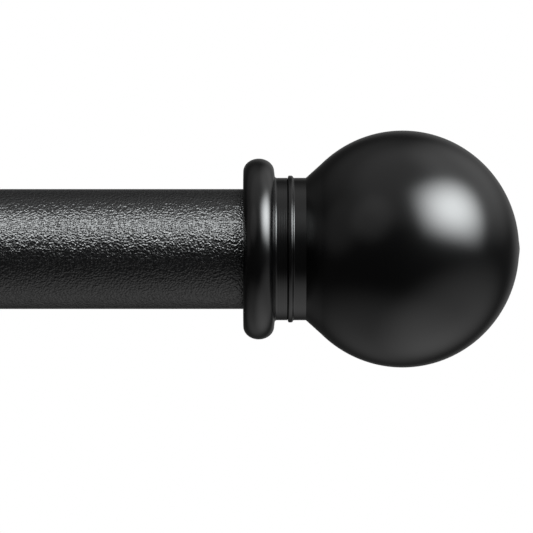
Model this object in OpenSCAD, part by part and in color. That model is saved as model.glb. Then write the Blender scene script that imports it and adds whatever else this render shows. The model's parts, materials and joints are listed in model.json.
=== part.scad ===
// Telescoping curtain rod with two wall brackets and screw-on ball finials.
//
// The rod lies along X and the wall is the plane Y = 0, with the rod in front of it at -Y.
// The origin is on the wall, midway between the two brackets and level with the rod's axis.
// Each bracket is an adjustable arm: a bar slides in a wall socket and carries an open cradle.
// The thick outer tube rests in the right cradle and the thin inner tube in the left one.

/* [Rod] */
// Outer diameter of the outer tube
outer_tube_od = 25.4; // [24.4:0.2:26.4]
// Outer diameter of the inner tube
inner_tube_od = 22.2; // [21.6:0.1:22.4]
// Wall thickness of both tubes
tube_wall = 0.7; // [0.5:0.1:0.8]
// Length of the outer tube
outer_tube_length = 700; // [640:10:740]
// Length of the inner tube
inner_tube_length = 680; // [600:10:690]
// Length of inner tube in sight between the outer tube and the left finial
exposed_length = 110; // [100:5:160]
// How far each tube end reaches into its finial
socket_depth = 7; // [6:0.5:8]

/* [Placement on the wall] */
// Distance from the wall to the rod's axis with the arms pushed in
wall_to_rod = 88.9; // [86:0.1:100]
// Distance between the two brackets
bracket_spacing = 648; // [600:4:680]
// Distance from the right bracket to the right finial's collar
right_overhang = 90; // [60:5:100]
// How much higher the left bracket sits, so that the thin tube lies level
left_bracket_rise = 1.6; // [1.5:0.1:1.7]

/* [Finials] */
// Diameter of the ball
ball_d = 50.2; // [46:0.2:54]
// Length of the ball along the rod, a little less than its diameter
ball_length = 49.4; // [48:0.2:50]
// Distance from the collar's open face to the ball's centre
ball_offset = 33.7; // [33:0.1:35]
// Diameter of the collar ring
collar_d = 38.3; // [36:0.1:42]
// Thickness of the collar ring
collar_thickness = 6.7; // [6:0.1:7]
// Radius of the collar's rounded rim
collar_rim_r = 2.5; // [1.5:0.1:2.8]
// Diameter of the neck
neck_d = 30; // [29:0.1:31]
// Diameter of the bead round the neck
bead_d = 30.9; // [30.5:0.1:32]
// Distance from the collar's open face to the parting line between base and ball
parting_u = 9.35; // [9.3:0.05:10]

/* [Brackets] */
// Width of the wall plate
plate_width = 25.4; // [24:0.2:30]
// Height of the wall plate
plate_height = 76; // [74:1:90]
// Thickness of the wall plate
plate_thickness = 3; // [2.5:0.1:4]
// Distance between the two screw holes of a wall plate
plate_hole_spacing = 54; // [50:1:56]
// Diameter of the screw holes in the wall plate
plate_hole_d = 5; // [4.8:0.1:5.4]
// Outer diameter of the arm socket
socket_od = 17; // [16:0.2:19]
// Length of the arm socket in front of the plate
socket_length = 48; // [44:1:50]
// Diameter of the sliding arm bar
arm_bar_d = 12; // [11:0.2:12.4]
// Distance that the arm bar slides out
arm_travel = 25.4; // [15:0.2:25.4]
// Width of the cradle strap
cradle_width = 20; // [18:1:24]
// Thickness of the cradle strap
cradle_thickness = 2.5; // [2:0.1:3]
// Height of the cradle's walls above its centre
cradle_rise = 9; // [8:0.5:11]

/* [Fasteners] */
// Thread diameter of the finial studs
stud_d = 6; // [5:0.5:6]
// Thread diameter of the thumbscrews that hold the rod
thumbscrew_d = 5; // [4.6:0.1:5]
// Diameter of a thumbscrew's knurled head
thumbscrew_head_d = 13; // [12:0.5:16]
// Thread diameter of the screws that lock the arm bars
lock_screw_d = 4; // [3.8:0.1:4.2]
// Thread diameter of the wall screws
wall_screw_d = 4.2; // [4:0.1:4.4]
// Length of a wall screw behind the plate
wall_screw_length = 30; // [25:1:40]

/* [Fits] */
// Radial clearance of parts that slide or turn in one another
running_fit = 0.08; // [0.05:0.01:0.1]
// Gap between rod and cradle, and between other moving pieces that face one another
body_gap = 0.3; // [0.25:0.05:0.35]

/* [Hidden] */
$fn = 96;

// Extra length of a cutting shape, so that it passes clean through a face.
over = 1;

// Radii that follow from the driving diameters.
outer_tube_r = outer_tube_od / 2;
outer_bore_r = outer_tube_r - tube_wall;
inner_tube_r = inner_tube_od / 2;
inner_bore_r = inner_tube_r - tube_wall;
stud_r = stud_d / 2;
ball_r = ball_d / 2;
neck_r = neck_d / 2;
arm_bar_r = arm_bar_d / 2;

// Places along X.
right_bracket_x = bracket_spacing / 2;
left_bracket_x = -right_bracket_x;
right_finial_x = right_bracket_x + right_overhang;
outer_right_end = right_finial_x + socket_depth;
outer_left_end = outer_right_end - outer_tube_length;
left_finial_x = outer_left_end - exposed_length;
inner_left_end = left_finial_x - socket_depth;
inner_right_end = inner_left_end + inner_tube_length;

// Tube ends: a nylon plug holds a nut for the finial's stud.
plug_length = 18;
stud_clearance = 0.2;
plug_hole_r = stud_r + stud_clearance;
nut_across_flats = 10;
nut_thickness = 5;
nut_from_end = 10;
ring_lip = 4;
ring_lip_step = 0.6;
ring_lip_r = outer_tube_r + ring_lip_step;
ring_sleeve = 20;
ring_bore_r = inner_tube_r + running_fit;
bush_length = 20;
bush_r = outer_bore_r - running_fit;

// Finial, measured along u from the collar's open face towards the ball.
tube_end_gap = 0.2;
base_floor_u = socket_depth + tube_end_gap;
bore_chamfer = 0.5;
parting_gap = 0.12;
ball_face_u = parting_u + parting_gap;
bead_r = 0.56;
groove_r = 0.15;
groove_u = collar_thickness + groove_r;
spigot_r = 14.4;
spigot_length = 1;
spigot_end_gap = 0.15;
flare_start_share = 0.825;
flare_from_u = ball_offset - flare_start_share * ball_length / 2;
flare_length = 3.5;
flare_slope = 0.93;
nib_r = 1;
nib_tip_r = 0.2;
nib_height = 0.17;
nib_root = 0.5;
insert_r = 4;
insert_from_u = 10;
insert_to_u = 22;
stud_from_u = -11;
stud_to_u = 21;
stud_chamfer = 0.6;

// Bracket, measured in its own frame: x along the rod, y up, z out from the wall.
plate_chamfer = 0.8;
plate_centre_hole_r = 5;
socket_bore_r = arm_bar_r + running_fit;
socket_flange_r = 12;
socket_flange = 2.5;
socket_stake_from = 0.2;
socket_floor = 1;
socket_mouth_step = 1;
socket_mouth_r = socket_od / 2 + socket_mouth_step;
socket_mouth = 3;
lock_boss_r = 4.5;
lock_boss_height = 2;
lock_boss_drop = socket_od / 2 + lock_boss_height;
lock_from_mouth = 7;
lock_screw_z = plate_thickness + socket_length - lock_from_mouth;
lock_screw_r = lock_screw_d / 2 - running_fit / 2;
lock_screw_chamfer = 0.4;
lock_hole_r = lock_screw_d / 2;
lock_head_gap = 1;
lock_head_r = 4.5;
lock_head = 6;
lock_head_flutes = 18;
flute_r = 0.5;
shank_in_head = 1;
arm_bar_from_z = 8;
arm_bar_chamfer = 0.8;
arm_slot_depth = 0.8;
arm_slot_half_width = lock_screw_r + body_gap;
cradle_inner_r = outer_tube_r + body_gap;
cradle_outer_r = cradle_inner_r + cradle_thickness;
cradle_corner_r = 5;
rivet_head_r = 4.5;
rivet_r = 2.5;
rivet_head = 2;
rivet_length = 14;

// Clamp, measured along z from the rod's axis, away from the wall.
clamp_boss_r = 5;
clamp_pilot_r = 3.6;
clamp_boss_height = 3.5;
clamp_boss_z = cradle_outer_r + clamp_boss_height;
clamp_bore_r = thumbscrew_d / 2 + running_fit / 2;
tip_thickness = 1.5;
tip_r = 1.9;
tip_stem_r = 1;
tip_stem = 3;
tip_end_gap = 0.05;
thumbscrew_chamfer = 0.5;
thumbscrew_gap = 3.6;
thumbscrew_collar_r = 4.5;
thumbscrew_collar = 1.5;
thumbscrew_head = 7;
thumbscrew_head_flutes = 24;

// Wall screws, with the thin shank ending just behind the wall plane.
wall_screw_shank_r = 1.75;
wall_screw_shank_end = 0.2;
wall_screw_head_r = 4.25;
wall_screw_head = 2.8;
wall_screw_dome_r = 6.44;
wall_screw_point = 4;
wall_screw_point_r = 0.3;
recess_from = 1;
recess_length = 4.4;
recess_width = 0.9;

// ---- Placing ----

// Puts a bracket piece, drawn as x along the rod, y up and z out from the wall, on the wall.
module on_wall(x, rise) {
    translate([x, 0, rise]) rotate([90, 0, 0]) children();
}

// The same, with z counted from the rod's axis.
module at_cradle(x, rise) {
    on_wall(x, rise) translate([0, 0, wall_to_rod]) children();
}

// Puts a piece drawn along z from the right finial's collar face outwards in its place.
module at_right_end() {
    translate([right_finial_x, -wall_to_rod, 0]) rotate([0, 90, 0]) children();
}

// The same for the left end.
module at_left_end() {
    translate([left_finial_x, -wall_to_rod, 0]) rotate([0, -90, 0]) children();
}

// A ring or tube from z = a to z = b.
module ring(outer_r, inner_r, a, b) {
    translate([0, 0, a]) difference() {
        cylinder(r = outer_r, h = b - a);
        translate([0, 0, -over]) cylinder(r = inner_r, h = b - a + 2 * over);
    }
}

// A rod from z = a to z = b with both ends chamfered by c.
module chamfered_rod(r, a, b, c) {
    rotate_extrude() polygon([
        [0, a], [r - c, a], [r, a + c],
        [r, b - c], [r - c, b], [0, b]
    ]);
}

// A fluted grip from z = a to z = b.
module fluted_head(r, a, b, flutes) {
    translate([0, 0, a]) linear_extrude(b - a) difference() {
        circle(r = r);
        for (i = [0 : flutes - 1])
            rotate(i * 360 / flutes) translate([r, 0]) circle(r = flute_r);
    }
}

// ---- Bracket pieces ----

// A plate with round ends and a chamfered front edge, drilled for two screws.
module wall_plate_shape() {
    r = plate_width / 2;
    end_y = plate_height / 2 - r;
    straight = plate_thickness - plate_chamfer;
    difference() {
        union() {
            for (side = [-1, 1]) translate([0, side * end_y, 0]) {
                cylinder(r = r, h = straight);
                translate([0, 0, straight])
                    cylinder(r1 = r, r2 = r - plate_chamfer, h = plate_chamfer);
            }
            rotate([90, 0, 0]) linear_extrude(2 * end_y, center = true) polygon([
                [-r, 0], [r, 0], [r, straight], [r - plate_chamfer, plate_thickness],
                [plate_chamfer - r, plate_thickness], [-r, straight]
            ]);
        }
        translate([0, 0, -over]) cylinder(r = plate_centre_hole_r, h = plate_thickness + 2 * over);
        for (side = [-1, 1]) translate([0, side * plate_hole_spacing / 2, -over])
            cylinder(r = plate_hole_d / 2, h = plate_thickness + 2 * over);
    }
}

// The socket that guides the arm bar, staked into the plate and tapped below for the lock screw.
module arm_socket_shape() {
    front = plate_thickness + socket_length;
    difference() {
        union() {
            translate([0, 0, socket_stake_from]) cylinder(r = plate_centre_hole_r, h = plate_thickness);
            translate([0, 0, plate_thickness]) cylinder(r = socket_flange_r, h = socket_flange);
            translate([0, 0, plate_thickness]) cylinder(r = socket_od / 2, h = socket_length);
            translate([0, 0, front - socket_mouth]) cylinder(r = socket_mouth_r, h = socket_mouth);
            translate([0, 0, lock_screw_z]) rotate([90, 0, 0])
                cylinder(r = lock_boss_r, h = lock_boss_drop);
        }
        translate([0, 0, plate_thickness + socket_floor])
            cylinder(r = socket_bore_r, h = socket_length + over);
        translate([0, 0, lock_screw_z]) rotate([90, 0, 0])
            cylinder(r = lock_hole_r, h = lock_boss_drop + over);
    }
}

// Two pan-head wood screws with a crossed recess, through the plate and into the wall.
module wall_screws_shape() {
    for (side = [-1, 1]) translate([0, side * plate_hole_spacing / 2, 0]) {
        difference() {
            translate([0, 0, plate_thickness]) intersection() {
                cylinder(r = wall_screw_head_r, h = wall_screw_head);
                translate([0, 0, wall_screw_head - wall_screw_dome_r])
                    sphere(r = wall_screw_dome_r);
            }
            for (turn = [0, 90]) rotate(turn)
                translate([-recess_length / 2, -recess_width / 2, plate_thickness + recess_from])
                    cube([recess_length, recess_width, wall_screw_head]);
        }
        translate([0, 0, -wall_screw_shank_end])
            cylinder(r = wall_screw_shank_r, h = plate_thickness + wall_screw_shank_end);
        translate([0, 0, wall_screw_point - wall_screw_length])
            cylinder(r = wall_screw_d / 2, h = wall_screw_length - wall_screw_point - wall_screw_shank_end);
        translate([0, 0, -wall_screw_length])
            cylinder(r1 = wall_screw_point_r, r2 = wall_screw_d / 2, h = wall_screw_point);
    }
}

// The screw under the socket, whose tip runs in the arm bar's slot.
module lock_screw_shape() {
    tip = arm_bar_r - arm_slot_depth + body_gap;
    head_from = lock_boss_drop + lock_head_gap;
    translate([0, 0, lock_screw_z]) rotate([90, 0, 0]) {
        chamfered_rod(lock_screw_r, tip, head_from + shank_in_head, lock_screw_chamfer);
        fluted_head(lock_head_r, head_from, head_from + lock_head, lock_head_flutes);
    }
}

// The side view of the cradle's outside: round below its centre, with straight walls above.
module cradle_outline(r, top) {
    intersection() {
        union() {
            circle(r = r);
            translate([-r, 0]) square([2 * r, r]);
        }
        translate([-r - over, -r - over]) square([2 * r + 2 * over, r + over + top]);
    }
}

// The cradle's outside as a solid, as wide as asked, with z counted from the rod's axis.
module cradle_solid(r, top, width) {
    rotate([0, -90, 0]) linear_extrude(width, center = true) cradle_outline(r, top);
}

// The sliding bar, coped to the cradle's back and slotted below for the lock screw.
module arm_bar_shape() {
    slot_from = lock_screw_z - arm_travel - lock_screw_r - 2 * body_gap;
    slot_to = lock_screw_z + lock_screw_r + 2 * body_gap;
    difference() {
        chamfered_rod(arm_bar_r, arm_bar_from_z, wall_to_rod, arm_bar_chamfer);
        translate([0, 0, wall_to_rod]) cradle_solid(cradle_outer_r, 2 * arm_bar_r, 2 * arm_bar_d);
        translate([-arm_slot_half_width, -arm_bar_r - over, slot_from])
            cube([2 * arm_slot_half_width, over + arm_slot_depth, slot_to - slot_from]);
        translate([0, 0, wall_to_rod - cradle_inner_r - rivet_length])
            cylinder(r = rivet_r, h = rivet_length);
    }
}

// The front view of the cradle strap, with rounded upper corners.
module strap_outline() {
    half = cradle_width / 2;
    depth = cradle_outer_r + over;
    translate([-half, -depth]) square([cradle_width, depth + cradle_rise - cradle_corner_r]);
    translate([cradle_corner_r - half, -depth])
        square([cradle_width - 2 * cradle_corner_r, depth + cradle_rise]);
    for (side = [-1, 1])
        translate([side * (half - cradle_corner_r), cradle_rise - cradle_corner_r])
            circle(r = cradle_corner_r);
}

// The open cradle that the rod rests in.
module cradle_shape() {
    difference() {
        intersection() {
            cradle_solid(cradle_outer_r, cradle_rise, cradle_width);
            translate([0, 0, -2 * cradle_outer_r]) linear_extrude(4 * cradle_outer_r) strap_outline();
        }
        cradle_solid(cradle_inner_r, cradle_rise + over, cradle_width + 2 * over);
        cradle_rivet_shape();
        cylinder(r = clamp_pilot_r, h = clamp_boss_z);
    }
}

// The countersunk rivet that joins the cradle to the arm bar.
module cradle_rivet_shape() {
    translate([0, 0, -cradle_inner_r]) rotate([180, 0, 0]) {
        cylinder(r1 = rivet_head_r, r2 = rivet_r, h = rivet_head);
        translate([0, 0, rivet_head]) cylinder(r = rivet_r, h = rivet_length - rivet_head);
    }
}

// The threaded boss welded to the cradle's front, coped to its curve.
module clamp_boss_shape() {
    difference() {
        union() {
            translate([0, 0, cradle_inner_r])
                cylinder(r = clamp_pilot_r, h = clamp_boss_z - cradle_inner_r);
            difference() {
                translate([0, 0, cradle_inner_r])
                    cylinder(r = clamp_boss_r, h = clamp_boss_z - cradle_inner_r);
                cradle_solid(cradle_outer_r, 2 * clamp_boss_r, 2 * cradle_width);
            }
        }
        cylinder(r = clamp_bore_r, h = clamp_boss_z + over);
    }
}

// The knurled screw that holds the rod down in the cradle. engagement is how far it is screwed in.
module thumbscrew_shape(engagement) {
    back = cradle_inner_r + tip_thickness - engagement;
    collar_from = clamp_boss_z + thumbscrew_gap - engagement;
    head_from = collar_from + thumbscrew_collar;
    difference() {
        union() {
            chamfered_rod(thumbscrew_d / 2, back, head_from + shank_in_head, thumbscrew_chamfer);
            translate([0, 0, collar_from]) cylinder(r = thumbscrew_collar_r, h = thumbscrew_collar);
            fluted_head(
                thumbscrew_head_d / 2, head_from, head_from + thumbscrew_head, thumbscrew_head_flutes
            );
        }
        translate([0, 0, back - over])
            cylinder(r = tip_stem_r + running_fit, h = tip_stem + over + body_gap);
    }
}

// The nylon tip that swivels on the thumbscrew's end.
module thumbscrew_tip_shape(engagement) {
    face = cradle_inner_r - engagement;
    translate([0, 0, face]) cylinder(r = tip_r, h = tip_thickness - tip_end_gap);
    translate([0, 0, face]) cylinder(r = tip_stem_r, h = tip_thickness + tip_stem);
}

// ---- Rod pieces ----

// A tube along X between two places.
module tube_shape(from_x, to_x, outer_r, inner_r) {
    translate([from_x, -wall_to_rod, 0]) rotate([0, 90, 0]) ring(outer_r, inner_r, 0, to_x - from_x);
}

// The nylon plug in a tube's end, with a six-sided pocket for its nut.
module end_plug_shape(r) {
    difference() {
        translate([0, 0, socket_depth - plug_length]) cylinder(r = r, h = plug_length);
        translate([0, 0, -plug_length]) cylinder(r = plug_hole_r, h = 2 * plug_length);
        translate([0, 0, socket_depth - plug_length - over])
            linear_extrude(plug_length - nut_from_end + over) nut_outline();
    }
}

// A regular hexagon with the nut's distance across its flats.
module nut_outline() {
    circle(r = nut_across_flats / sqrt(3), $fn = 6);
}

// The nut that the finial's stud screws into.
module plug_nut_shape() {
    translate([0, 0, socket_depth - nut_from_end - nut_thickness]) difference() {
        linear_extrude(nut_thickness) nut_outline();
        translate([0, 0, -over]) cylinder(r = stud_r + running_fit / 2, h = nut_thickness + 2 * over);
    }
}

// ---- Finial pieces, along z from the collar's open face ----

// Half of the base's section: a ring with a rounded rim, and the neck with a fine groove at its root.
module base_section() {
    rim_from = collar_rim_r;
    rim_to = collar_thickness - collar_rim_r;
    flat_r = collar_d / 2 - collar_rim_r;
    square([flat_r, collar_thickness]);
    translate([0, rim_from]) square([collar_d / 2, rim_to - rim_from]);
    translate([flat_r, rim_from]) circle(r = collar_rim_r);
    translate([flat_r, rim_to]) circle(r = collar_rim_r);
    difference() {
        square([neck_r, parting_u]);
        translate([neck_r, groove_u]) circle(r = groove_r);
    }
}

// The collar and the near half of the neck, bored for the tube's end, the stud and the ball's spigot.
module finial_base_shape(tube_r) {
    bore_r = tube_r + running_fit;
    recess_u = ball_face_u - spigot_length - spigot_end_gap;
    difference() {
        rotate_extrude() base_section();
        translate([0, 0, -over]) cylinder(r = bore_r, h = base_floor_u + over);
        cylinder(r1 = bore_r + bore_chamfer, r2 = bore_r, h = bore_chamfer);
        cylinder(r = plug_hole_r, h = parting_u + over);
        translate([0, 0, recess_u]) cylinder(r = spigot_r + running_fit, h = parting_u);
    }
}

// The slightly flattened ball, with the flare that leads into it and a faint turning nib at its end.
module ball_body() {
    translate([0, 0, ball_offset]) scale([1, 1, ball_length / ball_d]) sphere(r = ball_r);
    translate([0, 0, flare_from_u])
        cylinder(r1 = neck_r, r2 = neck_r + flare_slope * flare_length, h = flare_length);
    translate([0, 0, ball_offset + ball_length / 2 - nib_root])
        cylinder(r1 = nib_r + nib_root, r2 = nib_tip_r, h = nib_root + nib_height);
}

// The bead, the far half of the neck and the ball, with a blind hole for the brass insert.
module finial_ball_shape() {
    difference() {
        union() {
            difference() {
                ball_body();
                cylinder(r = neck_r, h = ball_face_u);
            }
            translate([0, 0, ball_face_u]) cylinder(r = neck_r, h = flare_from_u + over - ball_face_u);
            rotate_extrude() translate([bead_d / 2 - bead_r, ball_face_u + bead_r]) circle(r = bead_r);
            translate([0, 0, ball_face_u - spigot_length]) cylinder(r = spigot_r, h = spigot_length + over);
        }
        cylinder(r = insert_r, h = insert_to_u);
        cylinder(r = plug_hole_r, h = insert_to_u + stud_clearance);
    }
}

// The brass insert moulded into the ball.
module finial_insert_shape() {
    ring(insert_r, stud_r, insert_from_u, insert_to_u);
}

// The stud fixed in the insert, which screws into the tube end's nut.
module finial_stud_shape() {
    chamfered_rod(stud_r, stud_from_u, stud_to_u, stud_chamfer);
}

// ---- Right bracket ----

module right_wall_plate() { color("#1c1c1e") on_wall(right_bracket_x, 0) wall_plate_shape(); }
module right_arm_socket() { color("#1c1c1e") on_wall(right_bracket_x, 0) arm_socket_shape(); }
module right_wall_screws() { color("#2a2a2c") on_wall(right_bracket_x, 0) wall_screws_shape(); }
module right_lock_screw() { color("#2a2a2c") on_wall(right_bracket_x, 0) lock_screw_shape(); }
module right_arm_bar() { color("#1c1c1e") on_wall(right_bracket_x, 0) arm_bar_shape(); }
module right_cradle() { color("#1c1c1e") at_cradle(right_bracket_x, 0) cradle_shape(); }
module right_cradle_rivet() {
    color("#2a2a2c") at_cradle(right_bracket_x, 0) cradle_rivet_shape();
}
module right_clamp_boss() { color("#1c1c1e") at_cradle(right_bracket_x, 0) clamp_boss_shape(); }
module right_thumbscrew() {
    color("#2a2a2c") at_cradle(right_bracket_x, 0) thumbscrew_shape(0);
}
module right_thumbscrew_tip() {
    color("#e8e6dc") at_cradle(right_bracket_x, 0) thumbscrew_tip_shape(0);
}

// ---- Left bracket ----

// The thinner tube needs its thumbscrew screwed in further, by the difference of the radii.
left_engagement = outer_tube_r - inner_tube_r;

module left_wall_plate() {
    color("#1c1c1e") on_wall(left_bracket_x, left_bracket_rise) wall_plate_shape();
}
module left_arm_socket() {
    color("#1c1c1e") on_wall(left_bracket_x, left_bracket_rise) arm_socket_shape();
}
module left_wall_screws() {
    color("#2a2a2c") on_wall(left_bracket_x, left_bracket_rise) wall_screws_shape();
}
module left_lock_screw() {
    color("#2a2a2c") on_wall(left_bracket_x, left_bracket_rise) lock_screw_shape();
}
module left_arm_bar() {
    color("#1c1c1e") on_wall(left_bracket_x, left_bracket_rise) arm_bar_shape();
}
module left_cradle() {
    color("#1c1c1e") at_cradle(left_bracket_x, left_bracket_rise) cradle_shape();
}
module left_cradle_rivet() {
    color("#2a2a2c") at_cradle(left_bracket_x, left_bracket_rise) cradle_rivet_shape();
}
module left_clamp_boss() {
    color("#1c1c1e") at_cradle(left_bracket_x, left_bracket_rise) clamp_boss_shape();
}
module left_thumbscrew() {
    color("#2a2a2c") at_cradle(left_bracket_x, left_bracket_rise) thumbscrew_shape(left_engagement);
}
module left_thumbscrew_tip() {
    color("#e8e6dc") at_cradle(left_bracket_x, left_bracket_rise) thumbscrew_tip_shape(left_engagement);
}

// ---- Outer tube ----

module outer_tube() {
    color("#18181a") tube_shape(outer_left_end, outer_right_end, outer_tube_r, outer_bore_r);
}

// The plastic ring in the outer tube's mouth, which guides the inner tube.
module mouth_ring() {
    color("#18181a") {
        tube_shape(outer_left_end - ring_lip, outer_left_end, ring_lip_r, ring_bore_r);
        tube_shape(outer_left_end, outer_left_end + ring_sleeve, outer_bore_r, ring_bore_r);
    }
}

module outer_end_plug() { color("#e8e6dc") at_right_end() end_plug_shape(outer_bore_r); }
module outer_plug_nut() { color("#b9bcc2") at_right_end() plug_nut_shape(); }

// ---- Inner tube ----

module inner_tube() {
    color("#18181a") tube_shape(inner_left_end, inner_right_end, inner_tube_r, inner_bore_r);
}

// The nylon bush on the inner tube's hidden end, which keeps the tubes in line.
module guide_bush() {
    color("#e8e6dc")
        tube_shape(inner_right_end - bush_length, inner_right_end, bush_r, inner_tube_r);
}

module inner_end_plug() { color("#e8e6dc") at_left_end() end_plug_shape(inner_bore_r); }
module inner_plug_nut() { color("#b9bcc2") at_left_end() plug_nut_shape(); }

// ---- Finials ----

module right_finial_base() { color("#141416") at_right_end() finial_base_shape(outer_tube_r); }
module right_finial_ball() { color("#141416") at_right_end() finial_ball_shape(); }
module right_finial_insert() { color("#c9a24a") at_right_end() finial_insert_shape(); }
module right_finial_stud() { color("#b9bcc2") at_right_end() finial_stud_shape(); }
module left_finial_base() { color("#141416") at_left_end() finial_base_shape(inner_tube_r); }
module left_finial_ball() { color("#141416") at_left_end() finial_ball_shape(); }
module left_finial_insert() { color("#c9a24a") at_left_end() finial_insert_shape(); }
module left_finial_stud() { color("#b9bcc2") at_left_end() finial_stud_shape(); }

right_wall_plate();
right_arm_socket();
right_wall_screws();
right_lock_screw();
right_arm_bar();
right_cradle();
right_cradle_rivet();
right_clamp_boss();
right_thumbscrew();
right_thumbscrew_tip();
left_wall_plate();
left_arm_socket();
left_wall_screws();
left_lock_screw();
left_arm_bar();
left_cradle();
left_cradle_rivet();
left_clamp_boss();
left_thumbscrew();
left_thumbscrew_tip();
outer_tube();
mouth_ring();
outer_end_plug();
outer_plug_nut();
inner_tube();
guide_bush();
inner_end_plug();
inner_plug_nut();
right_finial_base();
right_finial_ball();
right_finial_insert();
right_finial_stud();
left_finial_base();
left_finial_ball();
left_finial_insert();
left_finial_stud();
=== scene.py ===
"""Looks of a telescoping curtain rod with two wall brackets and ball finials, built round its CAD frame."""
import json
import math

import bmesh
import bpy
from mathutils import Matrix, Quaternion, Vector

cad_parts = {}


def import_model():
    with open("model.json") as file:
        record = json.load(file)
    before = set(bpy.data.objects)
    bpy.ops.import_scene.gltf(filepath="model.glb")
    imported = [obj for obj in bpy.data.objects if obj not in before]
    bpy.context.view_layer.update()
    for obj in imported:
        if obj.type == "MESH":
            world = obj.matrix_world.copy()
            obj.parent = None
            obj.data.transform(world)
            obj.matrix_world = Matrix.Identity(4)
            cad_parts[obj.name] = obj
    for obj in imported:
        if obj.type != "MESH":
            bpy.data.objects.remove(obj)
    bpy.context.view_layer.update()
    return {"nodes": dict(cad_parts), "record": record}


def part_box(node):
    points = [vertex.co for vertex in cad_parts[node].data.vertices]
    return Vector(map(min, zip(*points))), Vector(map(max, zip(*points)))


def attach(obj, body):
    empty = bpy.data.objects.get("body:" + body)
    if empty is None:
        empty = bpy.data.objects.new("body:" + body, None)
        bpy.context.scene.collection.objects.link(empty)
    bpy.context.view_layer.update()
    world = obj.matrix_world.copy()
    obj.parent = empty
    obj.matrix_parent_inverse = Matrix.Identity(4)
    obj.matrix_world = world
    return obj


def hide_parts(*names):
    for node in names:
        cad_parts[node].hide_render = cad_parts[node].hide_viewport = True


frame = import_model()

# Lengths in this script are millimetres until a mesh is made, and metres after that.
MM = 0.001
TAU = 2 * math.pi
ARC_STEP = math.radians(11)      # the most that one step of a rounded corner turns
SHARP = math.radians(32)         # edges sharper than this stay sharp when shaded
MANY_SIDED = 8                   # faces with more corners than this are flat ends and plates, and stay flat

# Local Z of a turned piece, sent to each direction that pieces point in.
TO_RIGHT = Matrix.Rotation(math.pi / 2, 4, "Y")
TO_LEFT = Matrix.Rotation(-math.pi / 2, 4, "Y")
FROM_WALL = Matrix.Rotation(math.pi / 2, 4, "X")
DOWN = Matrix.Rotation(math.pi, 4, "X")


# ---- Places and sizes that come from the frame ----

def low(node, axis):
    """The lowest coordinate of a CAD node along an axis (0, 1 or 2), in millimetres."""
    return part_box(node)[0][axis] / MM


def high(node, axis):
    """The highest coordinate of a CAD node along an axis, in millimetres."""
    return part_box(node)[1][axis] / MM


def size(node, axis):
    """A CAD node's size along an axis, in millimetres."""
    return high(node, axis) - low(node, axis)


def middle(node, axis):
    """The middle of a CAD node along an axis, in millimetres."""
    return (high(node, axis) + low(node, axis)) / 2


ROD_Y = middle("outer_tube", 1)
ROD_Z = middle("outer_tube", 2)
OUTER_R = size("outer_tube", 2) / 2
INNER_R = size("inner_tube", 2) / 2
TUBE_WALL = 0.7
OUTER_BORE_R = OUTER_R - TUBE_WALL
RUNNING_FIT = 0.08       # the gap round a piece that slides or turns in another


def at(x, y, z, turn):
    """The matrix that puts a turned piece's origin at a place in millimetres and points it."""
    return Matrix.Translation(Vector((x, y, z)) * MM) @ turn


# ---- Outlines: lists of (radius, height) in millimetres, turned about the height's axis ----

def rounded(corners):
    """An outline from corners (radius, height, fillet), each rounded by its fillet."""
    points = []
    for before, corner, after in zip(corners[-1:] + corners[:-1], corners, corners[1:] + corners[:1]):
        here, fillet = Vector(corner[:2]), corner[2]
        if not fillet:
            points.append(here)
            continue
        back = (Vector(before[:2]) - here).normalized()
        on = (Vector(after[:2]) - here).normalized()
        half = back.angle(on) / 2
        centre = here + (back + on).normalized() * fillet / math.sin(half)
        start = here + back * fillet / math.tan(half) - centre
        end = here + on * fillet / math.tan(half) - centre
        turn = math.pi - 2 * half
        steps = max(2, math.ceil(turn / ARC_STEP))
        for k in range(steps + 1):
            share = k / steps
            blend = start * math.sin((1 - share) * turn) + end * math.sin(share * turn)
            points.append(centre + blend / math.sin(turn))
    return points


def arc(centre_r, centre_h, radius_r, radius_h, start, end, steps):
    """Points of an ellipse's arc. Angles are in degrees, 0 pointing away from the axis and 90 up it."""
    turns = [math.radians(start + (end - start) * k / steps) for k in range(steps + 1)]
    return [Vector((centre_r + radius_r * math.cos(t), centre_h + radius_h * math.sin(t))) for t in turns]


def straight(r, start, end, step):
    """Points along a cylinder, close enough together for a thread or a long tube."""
    steps = max(1, round(abs(end - start) / step))
    return [Vector((r, start + (end - start) * k / steps)) for k in range(steps + 1)]


def supported(points):
    """Adds a point near each end of a long edge that meets a short one, so that shading stays flat on it."""
    result = []
    for i, here in enumerate(points):
        before, after = points[i - 1], points[(i + 1) % len(points)]
        beyond = points[(i + 2) % len(points)]
        result.append(here)
        length = (after - here).length
        lead, tail = (here - before).length, (beyond - after).length
        along = (after - here) / max(length, 1e-9)
        if 0 < lead and length > 4 * lead:
            result.append(here + along * lead)
        if 0 < tail and length > 4 * tail:
            result.append(after - along * tail)
    return result


def helix(pitch, depth, start, end, flank_share=0.5):
    """A ripple that cuts a right-handed thread. flank_share is how much of a turn its flanks take."""
    def cut(r, h, angle):
        if not start <= h <= end:
            return 0
        off = 2 * abs((h / pitch - angle / TAU) % 1 - 0.5)
        fade = min(1, (h - start) / pitch, (end - h) / pitch)
        return -depth * (1 - max(0, 1 - off / (2 * flank_share))) * fade
    return cut


def knurl(teeth, depth, start, end, from_r):
    """A ripple that cuts straight grip teeth between two heights, on what is wider than from_r."""
    def cut(r, h, angle):
        if not start <= h <= end or r < from_r:
            return 0
        fade = min(1, (h - start) / depth, (end - h) / depth)
        return -depth * fade * (0.5 - 0.5 * math.cos(teeth * angle)) ** 2
    return cut


# ---- Meshes ----

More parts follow.
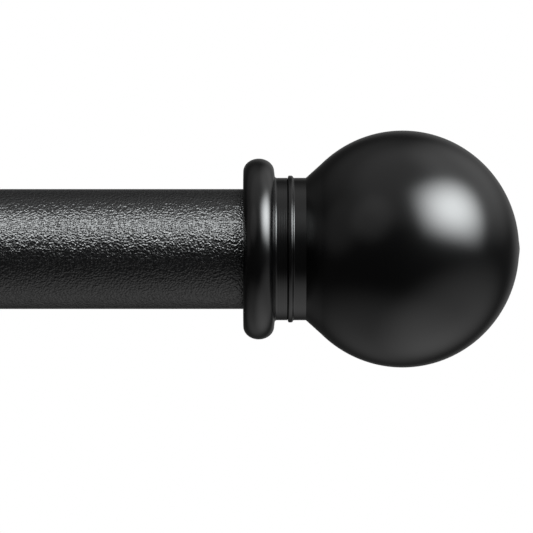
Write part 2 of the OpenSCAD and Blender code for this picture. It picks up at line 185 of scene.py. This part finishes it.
def new_piece(name, bm, place=Matrix.Identity(4)):
    """A smooth-shaded object from a bmesh in metres, placed in the row frame."""
    bmesh.ops.transform(bm, matrix=place, verts=bm.verts)
    bmesh.ops.recalc_face_normals(bm, faces=bm.faces)
    mesh = bpy.data.meshes.new(name)
    bm.to_mesh(mesh)
    bm.free()
    mesh.shade_smooth()
    mesh.set_sharp_from_angle(angle=SHARP)
    for face in mesh.polygons:
        face.use_smooth = len(face.vertices) <= MANY_SIDED
    piece = bpy.data.objects.new(name, mesh)
    bpy.context.scene.collection.objects.link(piece)
    return piece


def turn_into(bm, outline, segments, ripple=None):
    """Adds the solid that an outline makes when it turns about Z. Points on the axis become poles."""
    rings = []
    for point in supported(outline):
        r, h = point
        if r < 1e-6:
            rings.append([bm.verts.new((0, 0, h * MM))])
            continue
        ring = []
        for k in range(segments):
            angle = TAU * k / segments
            out = (r + (ripple(r, h, angle) if ripple else 0)) * MM
            ring.append(bm.verts.new((out * math.cos(angle), out * math.sin(angle), h * MM)))
        rings.append(ring)
    for ring, following in zip(rings, rings[1:] + rings[:1]):
        if len(ring) == len(following) == 1:
            continue
        for k in range(segments):
            corners = [ring[k % len(ring)], ring[(k + 1) % len(ring)],
                       following[(k + 1) % len(following)], following[k % len(following)]]
            bm.faces.new(list(dict.fromkeys(corners)))


def add_turned(bm, outline, place, segments=96, ripple=None):
    """Adds one more turned solid to a bmesh, in its own place."""
    part, mesh = bmesh.new(), bpy.data.meshes.new("part")
    turn_into(part, outline, segments, ripple)
    bmesh.ops.transform(part, matrix=place, verts=part.verts)
    part.to_mesh(mesh)
    part.free()
    bm.from_mesh(mesh)
    bpy.data.meshes.remove(mesh)


def turned(name, outline, place, segments=96, ripple=None):
    """A turned piece: one outline about local Z."""
    bm = bmesh.new()
    add_turned(bm, outline, place, segments, ripple)
    return new_piece(name, bm)


def eased_mesh(node, width):
    """A bmesh of a CAD node with its edges rounded off by that width in millimetres."""
    bm = bmesh.new()
    bm.from_mesh(frame["nodes"][node].data)
    bmesh.ops.remove_doubles(bm, verts=bm.verts, dist=0.002 * MM)
    bmesh.ops.dissolve_limit(bm, angle_limit=math.radians(0.5), verts=bm.verts, edges=bm.edges)
    edges = [e for e in bm.edges if len(e.link_faces) == 2 and e.calc_face_angle() > SHARP]
    bmesh.ops.bevel(bm, geom=edges, offset=width * MM, offset_type="OFFSET", segments=3,
                    profile=0.5, affect="EDGES", clamp_overlap=True)
    return bm


def new_eased(name, bm):
    """An object from an eased mesh, without the normals that the CAD node's own edges had."""
    piece = new_piece(name, bm)
    if "custom_normal" in piece.data.attributes:
        piece.data.attributes.remove(piece.data.attributes["custom_normal"])
    return piece


# ---- Materials ----

class Look:
    """A material under construction, with short calls for its nodes."""

    def __init__(self, name, base, roughness, metallic=0.0):
        self.material = bpy.data.materials.new(name)
        self.material.use_nodes = True
        self.material.diffuse_color = (*base, 1)
        self.tree = self.material.node_tree
        self.shader = self.tree.nodes["Principled BSDF"]
        self.shader.inputs["Base Color"].default_value = (*base, 1)
        self.shader.inputs["Roughness"].default_value = roughness
        self.shader.inputs["Metallic"].default_value = metallic
        self.place = self.add("TexCoord").outputs["Object"]

    def add(self, kind, **settings):
        """A new node. Each setting is one of its properties, or an input's constant value."""
        node = self.tree.nodes.new("ShaderNode" + kind)
        for key, value in settings.items():
            if key in node.inputs:
                node.inputs[key].default_value = value
            else:
                setattr(node, key, value)
        return node

    def link(self, output, node, name):
        self.tree.links.new(output, node.inputs[name])

    def noise(self, scale, detail=2.0, where=None):
        """Noise with about that many waves per metre."""
        node = self.add("TexNoise", Scale=scale, Detail=detail)
        self.link(where or self.place, node, "Vector")
        return node.outputs["Fac"]

    def ramp(self, value, start, end, low_value, high_value):
        """Maps a value from one range to another, held at both ends."""
        node = self.add("MapRange", **{"From Min": start, "From Max": end,
                                       "To Min": low_value, "To Max": high_value})
        self.link(value, node, "Value")
        return node.outputs["Result"]

    def tint(self, value, dark, light):
        """A colour between two, by a value from 0 to 1, for the base colour."""
        node = self.add("Mix", data_type="RGBA")
        node.inputs[6].default_value = (*dark, 1)
        node.inputs[7].default_value = (*light, 1)
        self.link(value, node, "Factor")
        self.link(node.outputs[2], self.shader, "Base Color")

    def bump(self, height, distance, strength=1.0, under=None):
        """A bump of that height in millimetres, on top of another one."""
        node = self.add("Bump", Strength=strength, Distance=distance * MM)
        self.link(height, node, "Height")
        if under:
            self.link(under, node, "Normal")
        return node.outputs["Normal"]

    def finish(self, roughness=None, normal=None):
        """Links the last roughness and normal to the shader and returns the material."""
        if roughness:
            self.link(roughness, self.shader, "Roughness")
        if normal:
            self.link(normal, self.shader, "Normal")
        return self.material


def pebbled_coat():
    """Textured powder coat: glossy pebbles about 0.4 mm across, on a slow swell, with faint painted shade in
    the pebbles' valleys.
    """
    look = Look("pebbled_black_coat", (0.001, 0.001, 0.0011), 0.27)
    drift = look.add("TexNoise", Scale=900.0, Detail=1.0)
    look.link(look.place, drift, "Vector")
    bend = look.add("VectorMath", operation="MULTIPLY_ADD")
    look.link(drift.outputs["Color"], bend, 0)
    bend.inputs[1].default_value = (0.0007, 0.0007, 0.0007)
    look.link(look.place, bend, 2)
    cells = look.add("TexVoronoi", feature="SMOOTH_F1", Scale=2100.0, Smoothness=0.28, Randomness=1.0)
    look.link(bend.outputs[0], cells, "Vector")
    pebbles = look.ramp(cells.outputs["Distance"], 0.1, 0.75, 1.0, 0.0)
    grain = look.noise(3200.0, 2.0)
    swell = look.noise(500.0, 2.0)
    body = look.bump(swell, 0.04)
    lumps = look.bump(pebbles, 0.1, under=body)
    normal = look.bump(grain, 0.012, under=lumps)
    # Painted shade: the base colour is darker in the pebbles' valleys and lighter on their tops.
    look.tint(pebbles, (0.0006, 0.0006, 0.0007), (0.0013, 0.0013, 0.0014))
    return look.finish(look.ramp(pebbles, 0.2, 0.8, 0.3, 0.18), normal)


def satin_lacquer():
    """Smooth satin black lacquer with a slight orange peel and faint unevenness of gloss."""
    look = Look("satin_black_lacquer", (0.0004, 0.0004, 0.00045), 0.22)
    peel = look.noise(380.0, 2.0)
    cloud = look.noise(60.0, 3.0)
    dust = look.noise(2400.0, 1.0)
    normal = look.bump(dust, 0.001, under=look.bump(peel, 0.003))
    look.tint(cloud, (0.0003, 0.0003, 0.00035), (0.0005, 0.0005, 0.00055))
    return look.finish(look.ramp(cloud, 0.3, 0.7, 0.21, 0.235), normal)


def bracket_coat():
    """Fine black powder coat on pressed steel."""
    look = Look("fine_black_coat", (0.006, 0.006, 0.0065), 0.42)
    grain = look.noise(2200.0, 3.0)
    wave = look.noise(500.0, 1.0)
    normal = look.bump(grain, 0.02, under=look.bump(wave, 0.03))
    look.tint(grain, (0.004, 0.004, 0.0045), (0.009, 0.009, 0.0095))
    return look.finish(look.ramp(grain, 0.3, 0.7, 0.36, 0.5), normal)


def black_oxide():
    """Blackened steel of screws: darker in places, a little brighter where it is handled."""
    look = Look("black_oxide_steel", (0.03, 0.03, 0.033), 0.38, metallic=1.0)
    blotch = look.noise(700.0, 4.0)
    scratch = look.noise(3800.0, 2.0)
    look.tint(blotch, (0.02, 0.02, 0.022), (0.055, 0.055, 0.06))
    return look.finish(look.ramp(blotch, 0.3, 0.7, 0.3, 0.5), look.bump(scratch, 0.006))


def zinc_plate():
    """Bright zinc plate with a slight blue-grey spangle."""
    look = Look("zinc_plated_steel", (0.55, 0.56, 0.58), 0.3, metallic=1.0)
    spangle = look.noise(900.0, 3.0)
    look.tint(spangle, (0.45, 0.47, 0.5), (0.66, 0.67, 0.68))
    return look.finish(look.ramp(spangle, 0.3, 0.7, 0.22, 0.42), look.bump(look.noise(3000.0), 0.004))


def turned_brass():
    """Brass with turning marks."""
    look = Look("turned_brass", (0.62, 0.43, 0.15), 0.28, metallic=1.0)
    marks = look.noise(2600.0, 3.0)
    look.tint(marks, (0.5, 0.34, 0.11), (0.7, 0.5, 0.2))
    return look.finish(look.ramp(marks, 0.3, 0.7, 0.2, 0.36), look.bump(marks, 0.006))


def natural_nylon():
    """Milky moulded nylon."""
    look = Look("natural_nylon", (0.76, 0.73, 0.64), 0.45)
    cloud = look.noise(300.0, 2.0)
    look.tint(cloud, (0.68, 0.65, 0.56), (0.8, 0.78, 0.7))
    look.shader.inputs["Subsurface Weight"].default_value = 0.15
    look.shader.inputs["Subsurface Scale"].default_value = 0.5 * MM
    return look.finish(look.ramp(cloud, 0.3, 0.7, 0.4, 0.52), look.bump(look.noise(1800.0), 0.01))


def moulded_plastic():
    """Black moulded plastic with a fine spark-eroded grain."""
    look = Look("black_moulded_plastic", (0.008, 0.008, 0.009), 0.45)
    grain = look.noise(3200.0, 2.0)
    look.tint(grain, (0.006, 0.006, 0.007), (0.012, 0.012, 0.013))
    return look.finish(look.ramp(grain, 0.3, 0.7, 0.4, 0.52), look.bump(grain, 0.012))


def pale_floor():
    """The studio floor: matte and pale, with a glow of its own that keeps its far side pale too."""
    look = Look("pale_floor", (0.1, 0.1, 0.1), 0.8)
    look.shader.inputs["Emission Color"].default_value = (1, 1, 1, 1)
    look.shader.inputs["Emission Strength"].default_value = 0.5
    speck = look.noise(30.0, 3.0)
    look.tint(speck, (0.09, 0.09, 0.09), (0.11, 0.11, 0.11))
    return look.finish(look.ramp(speck, 0.3, 0.7, 0.75, 0.85))


LOOKS = {
    "pebbled_black_steel": pebbled_coat(),
    "satin_black_resin": satin_lacquer(),
    "black_bracket_steel": bracket_coat(),
    "black_screw_steel": black_oxide(),
    "zinc_plated_steel": zinc_plate(),
    "turned_brass": turned_brass(),
    "natural_nylon": natural_nylon(),
    "black_moulded_plastic": moulded_plastic(),
}


# ---- Which body and slot each CAD node belongs to ----

BODY_OF = {n: body for body, nodes in frame["record"]["behaviour"]["bodies"].items() for n in nodes}
SLOT_OF = {s["node"]: s["material_slot"] for s in frame["record"]["subparts"]}


def stand_for(piece, node):
    """The piece takes a CAD node's place, body, slot and material."""
    piece.data.materials.clear()
    piece.data.materials.append(LOOKS[SLOT_OF[node]])
    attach(piece, BODY_OF[node])
    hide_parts(node)
    return piece


# ---- Tubes ----

def tube(node, outer_r):
    """One tube with its cut ends rounded, and with rings along it so that its long faces stay short."""
    inner_r, length = outer_r - TUBE_WALL, size(node, 0)
    end, ring_from, outer_step, inner_step = 0.2, 1, 20, 40
    outline = [Vector((inner_r, end)), Vector((inner_r + end, 0)), Vector((outer_r - end, 0))]
    outline += arc(outer_r - end, end, end, end, -90, 0, 5)
    outline += straight(outer_r, ring_from, length - ring_from, outer_step)
    outline += arc(outer_r - end, length - end, end, end, 0, 90, 5)
    outline += [Vector((inner_r + end, length)), Vector((inner_r, length - end))]
    outline += straight(inner_r, length - ring_from, ring_from, inner_step)
    stand_for(turned(node + "_skin", outline, at(low(node, 0), ROD_Y, ROD_Z, TO_RIGHT), 144), node)


def mouth_ring():
    """The moulded ring in the outer tube's mouth, with its lip outside."""
    node = "mouth_ring"
    lip_r, lip, length, bore_r = size(node, 2) / 2, 4.0, size(node, 0), INNER_R + RUNNING_FIT
    outline = rounded([
        (bore_r, 0, 0.5), (lip_r, 0, 1.1), (lip_r, lip, 0.5),
        (OUTER_BORE_R, lip, 0), (OUTER_BORE_R, length, 0.3), (bore_r, length, 0.3)])
    stand_for(turned(node + "_moulding", outline, at(low(node, 0), ROD_Y, ROD_Z, TO_RIGHT), 128), node)


# ---- Finials ----

# Each finial's u is counted along it from the collar's open face.
SOCKET_DEPTH = high("outer_tube", 0) - low("right_finial_base", 0)
SOCKET_END_GAP = 0.2
MOUTH_CHAMFER = 0.5      # at the collar's open end
COLLAR_R = size("right_finial_base", 2) / 2
RIM_HALF = 3.27          # half the collar ring's thickness at its round rim
RIM_FLAT_R = 16.4        # where the ring's flat faces end and the round rim begins
NECK_R = 15.08
RING_FILLET = 0.45       # between the collar ring and the neck
RING_FILLET_TO_U = 7.11
TURNED_FROM_U = 7.17     # where the fine turned rings begin on the neck
TURNED_PITCH = 0.36
TURNED_DEPTH = 0.008
PARTING_LINE = 0.14      # the dark line between neck and bead, at its mouth
PARTING_SLANT = 0.5      # how far the line slants under the bead, so that no light shows through it
BEAD_FROM_U = 9.42
BEAD_NEAR_HALF = 0.3     # from the bead's near face to its crest
BEAD_CREST_TO_U = 10.12  # the end of the bead's flat crest
BEAD_FAR_HALF = 0.44     # from there to its far foot
BEAD_R = 15.56
BEAD_FILLET = 0.4        # between the bead and the far half of the neck
BEAD_FILLET_TO_U = 10.84
FLARE_FROM_U = 13.25
FLARE_TO_R = 18.0        # where the straight flare runs into the ball
SPIGOT_R = 14.4
SPIGOT_LENGTH = 1.0
SPIGOT_END_GAP = 0.15
NIB_R = 2.1              # the foot of the faint point on the ball's end
NIB_HEIGHT = 0.17
NIB_CUT = 0.001          # keeps the point inside the CAD's box
STUD_HOLE_R = 3.2
STUD_HOLE_TO_U = 23.0
INSERT_R = 4.0
INSERT_TO_U = 22.0
BALL_R = size("right_finial_ball", 2) / 2
BALL_HALF_LENGTH = 24.7
BALL_FACE_U = low("right_finial_ball", 0) - low("right_finial_base", 0) + SPIGOT_LENGTH
BALL_TIP_U = high("right_finial_ball", 0) - low("right_finial_base", 0)
BALL_CENTRE_U = BALL_TIP_U - NIB_HEIGHT - BALL_HALF_LENGTH
STUD_FROM_U = -11.0
STUD_TO_U = 21.0
STUD_PITCH = 1.0


def neck_rings(start, end):
    """Fine turned rings on the neck's near half."""
    steps = round((end - start) / TURNED_PITCH) * 8
    heights = [start + (end - start) * k / steps for k in range(steps + 1)]
    cuts = [0.5 - 0.5 * math.cos(TAU * (h - start) / TURNED_PITCH) for h in heights]
    return [Vector((NECK_R - TURNED_DEPTH * cut, h)) for cut, h in zip(cuts, heights)]


def hollow_fillet(radius, end_u, start_turn):
    """A hollow fillet that runs down onto the neck, from a turn in degrees to level with the neck."""
    return arc(NECK_R + radius, end_u, radius, radius, 180 + start_turn, 180, 14)


def base_outline(tube_r):
    """The collar ring and the near half of the neck, with the tube's socket and the spigot's recess."""
    bore_r, floor_u = tube_r + RUNNING_FIT, SOCKET_DEPTH + SOCKET_END_GAP
    recess_r, recess_u = SPIGOT_R + RUNNING_FIT, BALL_FACE_U - SPIGOT_LENGTH - SPIGOT_END_GAP
    neck_to_u = BEAD_FROM_U - PARTING_LINE
    outline = [Vector((bore_r, MOUTH_CHAMFER)), Vector((bore_r + MOUTH_CHAMFER, 0.02))]
    outline += [Vector((bore_r + MOUTH_CHAMFER + 0.1, 0))]
    outline += arc(RIM_FLAT_R, RIM_HALF, COLLAR_R - RIM_FLAT_R, RIM_HALF, -90, 86, 40)
    outline += hollow_fillet(RING_FILLET, RING_FILLET_TO_U, 84)
    outline += neck_rings(TURNED_FROM_U, neck_to_u)
    outline += [Vector((recess_r, neck_to_u + PARTING_SLANT)), Vector((recess_r, recess_u))]
    outline += [Vector((STUD_HOLE_R, recess_u)), Vector((STUD_HOLE_R, floor_u)), Vector((bore_r, floor_u))]
    return outline


def ball_pole(from_r):
    """The last of the ball, drawn up to the faint point that the turning tool left."""
    steps = 6
    radii = [from_r * (1 - k / steps) for k in range(1, steps + 1)]
    domes = [BALL_HALF_LENGTH * math.sqrt(1 - (r / BALL_R) ** 2) for r in radii]
    points = [(NIB_HEIGHT - NIB_CUT) * (1 - r / from_r) for r in radii]
    return [Vector((r, BALL_CENTRE_U + dome + point)) for r, dome, point in zip(radii, domes, points)]


def ball_outline():
    """The spigot, the bead, the far half of the neck, the flare and the ball, with the insert's hole."""
    spigot_u, rise, edge = BALL_FACE_U - SPIGOT_LENGTH, BEAD_R - NECK_R, 0.1
    outline = [Vector((0, STUD_HOLE_TO_U)), Vector((STUD_HOLE_R, STUD_HOLE_TO_U))]
    outline += [Vector((STUD_HOLE_R, INSERT_TO_U)), Vector((INSERT_R, INSERT_TO_U))]
    outline += [Vector((INSERT_R, spigot_u)), Vector((SPIGOT_R - edge, spigot_u))]
    outline += [Vector((SPIGOT_R, spigot_u + edge)), Vector((SPIGOT_R, BEAD_FROM_U + PARTING_SLANT))]
    outline += arc(NECK_R, BEAD_FROM_U + BEAD_NEAR_HALF, rise, BEAD_NEAR_HALF, -84, 0, 9)
    outline += arc(NECK_R, BEAD_CREST_TO_U, rise, BEAD_FAR_HALF, 0, 60, 12)
    outline += hollow_fillet(BEAD_FILLET, BEAD_FILLET_TO_U, 55)
    outline += straight(NECK_R, BEAD_FILLET_TO_U + 0.2, FLARE_FROM_U, 0.6)
    meet = math.degrees(math.acos(FLARE_TO_R / BALL_R))
    ball = arc(0, BALL_CENTRE_U, BALL_R, BALL_HALF_LENGTH, -meet, 90, 110)
    root = Vector((NECK_R, FLARE_FROM_U))
    outline += [root + (ball[0] - root) * share for share in (0.03, 0.3, 0.6, 0.9)]
    outline += [point for point in ball if point.x > NIB_R or point.y < BALL_CENTRE_U]
    return outline + ball_pole(NIB_R)


def stud_outline(r, chamfer):
    """The stud's shank, with points close enough together for its thread."""
    outline = [Vector((0, STUD_FROM_U)), Vector((r - chamfer, STUD_FROM_U))]
    outline += straight(r, STUD_FROM_U + chamfer, STUD_TO_U - chamfer, STUD_PITCH / 10)
    outline += [Vector((r - chamfer, STUD_TO_U)), Vector((0, STUD_TO_U))]
    return outline


def finials():
    """Both finials: base, ball and stud. The brass insert stays as its CAD node."""
    stud_r, chamfer = size("right_finial_stud", 2) / 2, 0.6
    thread = helix(STUD_PITCH, STUD_PITCH / 2, STUD_FROM_U + chamfer, STUD_TO_U - chamfer)
    ends = (("right", low("right_finial_base", 0), TO_RIGHT, OUTER_R),
            ("left", high("left_finial_base", 0), TO_LEFT, INNER_R))
    for side, x, way, tube_r in ends:
        place = at(x, ROD_Y, ROD_Z, way)
        stand_for(turned(side + "_collar_and_neck", base_outline(tube_r), place, 256), side + "_finial_base")
        stand_for(turned(side + "_ball", ball_outline(), place, 256), side + "_finial_ball")
        stud = turned(side + "_stud_thread", stud_outline(stud_r, chamfer), place, 40, thread)
        stand_for(stud, side + "_finial_stud")


# ---- Brackets ----

SCREW_INTO_HEAD = 1.0    # how far a knurled screw's shank runs into its head
KNURL_DEPTH = 0.5
POINTS_PER_TOOTH = 12


def threaded_shank(r, start, end, pitch, bore_r=0.0, bore=0.0):
    """Outline and ripple of a machine screw's shank with chamfered ends, bored at its start if asked."""
    chamfer = 0.5
    outline = [Vector((0, start + bore))]
    if bore:
        outline += [Vector((bore_r, start + bore)), Vector((bore_r, start))]
    outline += [Vector((r - chamfer, start)), Vector((r, start + chamfer))]
    outline += straight(r, start + chamfer, end - chamfer, pitch / 8)[1:]
    outline += [Vector((r - chamfer, end)), Vector((0, end))]
    return outline, helix(pitch, 0.6 * pitch, start + chamfer, end - chamfer)


def add_grip(bm, r, start, length, teeth, place):
    """Adds a knurled, slightly dished screw head with rounded rims."""
    end, rim, dish, plain = start + length, 0.7, 0.3, 0.3
    outline = rounded([(0, start, 0), (r, start, rim), (r, end, rim), (0, end, 0)])[:-1]
    outline += [Vector((0.8 * r, end)), Vector((0.72 * r, end - dish)), Vector((0, end - dish))]
    ripple = knurl(teeth, KNURL_DEPTH, start + plain, end - plain, r - plain)
    add_turned(bm, outline, place, teeth * POINTS_PER_TOOTH, ripple)


def thumbscrew(side):
    """The clamp's knurled thumbscrew: bored and threaded shank, collar and grip."""
    node = side + "_thumbscrew"
    shank_r, pitch, bore_r, bore = 2.5, 0.8, 1.08, 3.3
    head, teeth, collar, collar_r, collar_round = 7.0, 24, 1.5, 4.5, 0.35
    back, front = ROD_Y - high(node, 1), ROD_Y - low(node, 1)
    head_from = front - head
    place = at(middle(node, 0), ROD_Y, middle(node, 2), FROM_WALL)
    bm = bmesh.new()
    outline, thread = threaded_shank(shank_r, back, head_from + SCREW_INTO_HEAD, pitch, bore_r, bore)
    add_turned(bm, outline, place, 40, thread)
    outline = rounded([(0, head_from - collar, 0), (collar_r, head_from - collar, collar_round),
                       (collar_r, head_from + SCREW_INTO_HEAD, 0), (0, head_from + SCREW_INTO_HEAD, 0)])
    add_turned(bm, outline, place, 64)
    add_grip(bm, size(node, 0) / 2, head_from, head, teeth, place)
    stand_for(new_piece(node + "_knurled", bm), node)


def lock_screw(side):
    """The socket's knurled lock screw."""
    node = side + "_lock_screw"
    shank_r, pitch, head, teeth = 1.96, 0.7, 6.0, 18
    tip, head_from = -high(node, 2), -low(node, 2) - head
    place = at(middle(node, 0), middle(node, 1), 0, DOWN)
    bm = bmesh.new()
    outline, thread = threaded_shank(shank_r, tip, head_from + SCREW_INTO_HEAD, pitch)
    add_turned(bm, outline, place, 40, thread)
    add_grip(bm, size(node, 0) / 2, head_from, head, teeth, place)
    stand_for(new_piece(node + "_knurled", bm), node)


def screw_heights(node):
    """The heights of a bracket's two wall screws, whose heads are as wide as the node."""
    head_r = size(node, 0) / 2
    return low(node, 2) + head_r, high(node, 2) - head_r


def wood_thread(length, shank_to):
    """Outline and ripple of a wood screw's shank below the wall's face: plain, then threaded to a point."""
    point, pitch, thread_r, core_r, shank_r = 4.0, 1.8, 2.1, 1.35, 1.75
    tip_r, thread_to, steps = 0.3, -1.0, 26
    outline = [Vector((0, -length)), Vector((0.25, -length))]
    outline += [Vector((thread_r + (tip_r - thread_r) * (1 - k / steps), point * k / steps - length))
                for k in range(1, steps)]
    outline += straight(thread_r, point - length, thread_to - 0.2, 0.15)
    outline += [Vector((shank_r, thread_to + 0.1)), Vector((shank_r, shank_to)), Vector((0, shank_to))]
    return outline, helix(pitch, thread_r - core_r, point - length - 2.2, thread_to, 0.3)


def wall_screws(side):
    """A bracket's two pan-head wood screws: the CAD's heads on threaded shanks that end in a point."""
    node, into_head, edge = side + "_wall_screws", 0.5, 0.1
    plate_front = low(side + "_wall_plate", 1)
    bm = eased_mesh(node, edge)
    geometry = list(bm.verts) + list(bm.edges) + list(bm.faces)
    bmesh.ops.bisect_plane(bm, geom=geometry, plane_co=(0, plate_front * MM, 0), plane_no=(0, 1, 0),
                           clear_outer=True)
    bmesh.ops.holes_fill(bm, edges=[e for e in bm.edges if e.is_boundary])
    outline, thread = wood_thread(high(node, 1), into_head - plate_front)
    for z in screw_heights(node):
        add_turned(bm, outline, at(middle(node, 0), 0, z, FROM_WALL), 40, thread)
    stand_for(new_eased(node + "_threaded", bm), node)


def brackets():
    """Both wall brackets."""
    for side in ("right", "left"):
        for node, width in (("wall_plate", 0.35), ("arm_socket", 0.3), ("arm_bar", 0.15),
                            ("cradle", 0.4), ("clamp_boss", 0.3), ("cradle_rivet", 0.1),
                            ("thumbscrew_tip", 0.15)):
            name = f"{side}_{node}"
            stand_for(new_eased(name + "_eased", eased_mesh(name, width)), name)
        thumbscrew(side)
        lock_screw(side)
        wall_screws(side)


def hidden_pieces():
    """The CAD nodes inside the rod stay, with full materials."""
    for node in ("outer_end_plug", "outer_plug_nut", "inner_end_plug", "inner_plug_nut", "guide_bush",
                 "right_finial_insert", "left_finial_insert"):
        data = frame["nodes"][node].data
        data.materials.clear()
        data.materials.append(LOOKS[SLOT_OF[node]])


# ---- Studio ----

CAMERA_DISTANCE = 1.0
FRAME_WIDTH = 0.11289       # metres across the picture at the rod's axis
SENSOR = 36.0
VIEW_RIGHT_OF_COLLAR = 4.92 * MM
VIEW_BELOW_ROD = 3.7 * MM
LIGHT_TINT = (0.965, 1.0, 1.01)
EDGE_FADE_FROM = 0.0125     # where a soft box starts to fade, as a share of its width from the middle
FLOOR_RADIUS = 4.0
FLOOR_HEIGHT = -0.3


def camera():
    """A long lens, level with the rod, on the finial."""
    data = bpy.data.cameras.new("camera")
    data.sensor_width = SENSOR
    data.lens = SENSOR * CAMERA_DISTANCE / FRAME_WIDTH
    data.clip_start, data.clip_end = 0.05, 60
    seen = bpy.data.objects.new("camera", data)
    bpy.context.scene.collection.objects.link(seen)
    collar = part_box("right_finial_base")[0].x
    seen.location = (collar + VIEW_RIGHT_OF_COLLAR, ROD_Y * MM - CAMERA_DISTANCE, ROD_Z * MM - VIEW_BELOW_ROD)
    seen.rotation_euler = (math.pi / 2, 0, 0)
    bpy.context.scene.camera = seen


def fade_to_edges(tree):
    """Makes a soft box's light brightest in its middle and nothing at its edges."""
    spread = tree.nodes.new("ShaderNodeNewGeometry").outputs["Parametric"]
    split = tree.nodes.new("ShaderNodeSeparateXYZ")
    tree.links.new(spread, split.inputs[0])
    fades = []
    for axis in ("X", "Y"):
        off = tree.nodes.new("ShaderNodeMath")
        off.operation = "SUBTRACT"
        off.inputs[1].default_value = 0.5
        tree.links.new(split.outputs[axis], off.inputs[0])
        far = tree.nodes.new("ShaderNodeMath")
        far.operation = "ABSOLUTE"
        tree.links.new(off.outputs[0], far.inputs[0])
        fade = tree.nodes.new("ShaderNodeMapRange")
        fade.interpolation_type = "SMOOTHSTEP"
        for key, value in (("From Min", EDGE_FADE_FROM), ("From Max", 0.5), ("To Min", 1), ("To Max", 0)):
            fade.inputs[key].default_value = value
        tree.links.new(far.outputs[0], fade.inputs["Value"])
        fades.append(fade.outputs["Result"])
    both = tree.nodes.new("ShaderNodeMath")
    both.operation = "MULTIPLY"
    for k in range(2):
        tree.links.new(fades[k], both.inputs[k])
    tree.links.new(both.outputs[0], tree.nodes["Emission"].inputs["Strength"])


def soft_light(name, target, direction, distance, width, height, power, roll=0.0, only=None):
    """A soft box that faces the target and isn't itself seen. It may light one collection only."""
    data = bpy.data.lights.new(name, "AREA")
    data.shape, data.size, data.size_y, data.energy = "RECTANGLE", width, height, power
    data.color = LIGHT_TINT
    data.use_nodes = True
    fade_to_edges(data.node_tree)
    lamp = bpy.data.objects.new(name, data)
    bpy.context.scene.collection.objects.link(lamp)
    way = Vector(direction).normalized()
    lamp.location = target + way * distance
    lamp.rotation_euler = (way.to_track_quat("Z", "Y") @ Quaternion((0, 0, 1), roll)).to_euler()
    lamp.visible_camera = False
    if only:
        lamp.light_linking.receiver_collection = only


# Distant soft panels round the object: direction, angles of full and of no light, and brightness.
PANELS = (
    ((-0.31, 0.0, 0.95), 9, 53, 0.24),      # ceiling
    ((0.05, -0.36, 0.93), 28, 54, 0.26),    # the same, in front
    ((0.68, 0.26, 0.68), 0, 45, 0.70),      # behind the soft box
    ((-0.50, -0.71, 0.49), 0, 27, 0.42),    # small, upper front left
    ((-0.89, -0.33, 0.32), 0, 28, 0.22),    # left
    ((-0.17, 0.09, -0.98), 0, 58, 0.36),    # pale table below
    ((0.54, -0.05, -0.84), 0, 57, 0.58),    # the same, lower right
    ((0.26, 0.96, 0.12), 0, 34, 0.18),      # behind
)
ROOM_GLOW = 0.042


def room_light(tree):
    """The strength of a dark room with the distant soft panels in it."""
    way = tree.nodes.new("ShaderNodeTexCoord").outputs["Generated"]
    total = None
    for direction, full, none, brightness in PANELS:
        dot = tree.nodes.new("ShaderNodeVectorMath")
        dot.operation = "DOT_PRODUCT"
        dot.inputs[1].default_value = Vector(direction).normalized()
        tree.links.new(way, dot.inputs[0])
        glow = tree.nodes.new("ShaderNodeMapRange")
        glow.interpolation_type = "SMOOTHSTEP"
        values = (math.cos(math.radians(none)), math.cos(math.radians(full)), 0, brightness)
        for key, value in zip(("From Min", "From Max", "To Min", "To Max"), values):
            glow.inputs[key].default_value = value
        tree.links.new(dot.outputs["Value"], glow.inputs["Value"])
        add = tree.nodes.new("ShaderNodeMath")
        add.operation = "ADD"
        add.inputs[1].default_value = ROOM_GLOW
        tree.links.new(glow.outputs["Result"], add.inputs[0])
        if total:
            tree.links.new(total, add.inputs[1])
        total = add.outputs[0]
    return total


def lights():
    """One large soft box, and a soft strip along the tubes alone, whose band runs right up to the collar."""
    finial = Vector(((low("right_finial_base", 0) + BALL_CENTRE_U) * MM, ROD_Y * MM, ROD_Z * MM))
    soft_light("key_box", finial, direction=(0.693, -0.455, 0.56), distance=2.0, width=3.43, height=2.66,
               power=515, roll=-0.238)
    rod = bpy.data.collections.new("rod")
    for node in ("outer_tube", "inner_tube"):
        rod.objects.link(bpy.data.objects[node + "_skin"])
    middle_of_rod = Vector((0, ROD_Y * MM, ROD_Z * MM))
    soft_light("rod_strip", middle_of_rod, direction=(0, -0.69, 0.72), distance=0.5, width=2.0, height=0.24,
               power=41, only=rod)


def floor():
    """A round, pale floor, which reflections don't show."""
    bm = bmesh.new()
    bmesh.ops.create_circle(bm, cap_ends=True, segments=96, radius=FLOOR_RADIUS)
    piece = new_piece("floor", bm, Matrix.Translation((0, 0, FLOOR_HEIGHT)))
    piece.data.materials.append(pale_floor())
    piece.visible_glossy = False


def world():
    """A white backdrop behind the object, and the dim room that lights it."""
    sky = bpy.data.worlds.new("studio")
    bpy.context.scene.world = sky
    sky.use_nodes = True
    tree = sky.node_tree
    tree.nodes.clear()
    output = tree.nodes.new("ShaderNodeOutputWorld")
    mix = tree.nodes.new("ShaderNodeMixShader")
    backdrop = tree.nodes.new("ShaderNodeBackground")
    room = tree.nodes.new("ShaderNodeBackground")
    ray = tree.nodes.new("ShaderNodeLightPath")
    backdrop.inputs["Color"].default_value = (1, 1, 1, 1)
    room.inputs["Color"].default_value = (1, 1, 1, 1)
    tree.links.new(room_light(tree), room.inputs["Strength"])
    tree.links.new(ray.outputs["Is Camera Ray"], mix.inputs[0])
    tree.links.new(room.outputs[0], mix.inputs[1])
    tree.links.new(backdrop.outputs[0], mix.inputs[2])
    tree.links.new(mix.outputs[0], output.inputs["Surface"])


camera()
tube("outer_tube", OUTER_R)
tube("inner_tube", INNER_R)
mouth_ring()
finials()
brackets()
hidden_pieces()
lights()
floor()
world()
bpy.context.scene.view_settings.view_transform = "Standard"
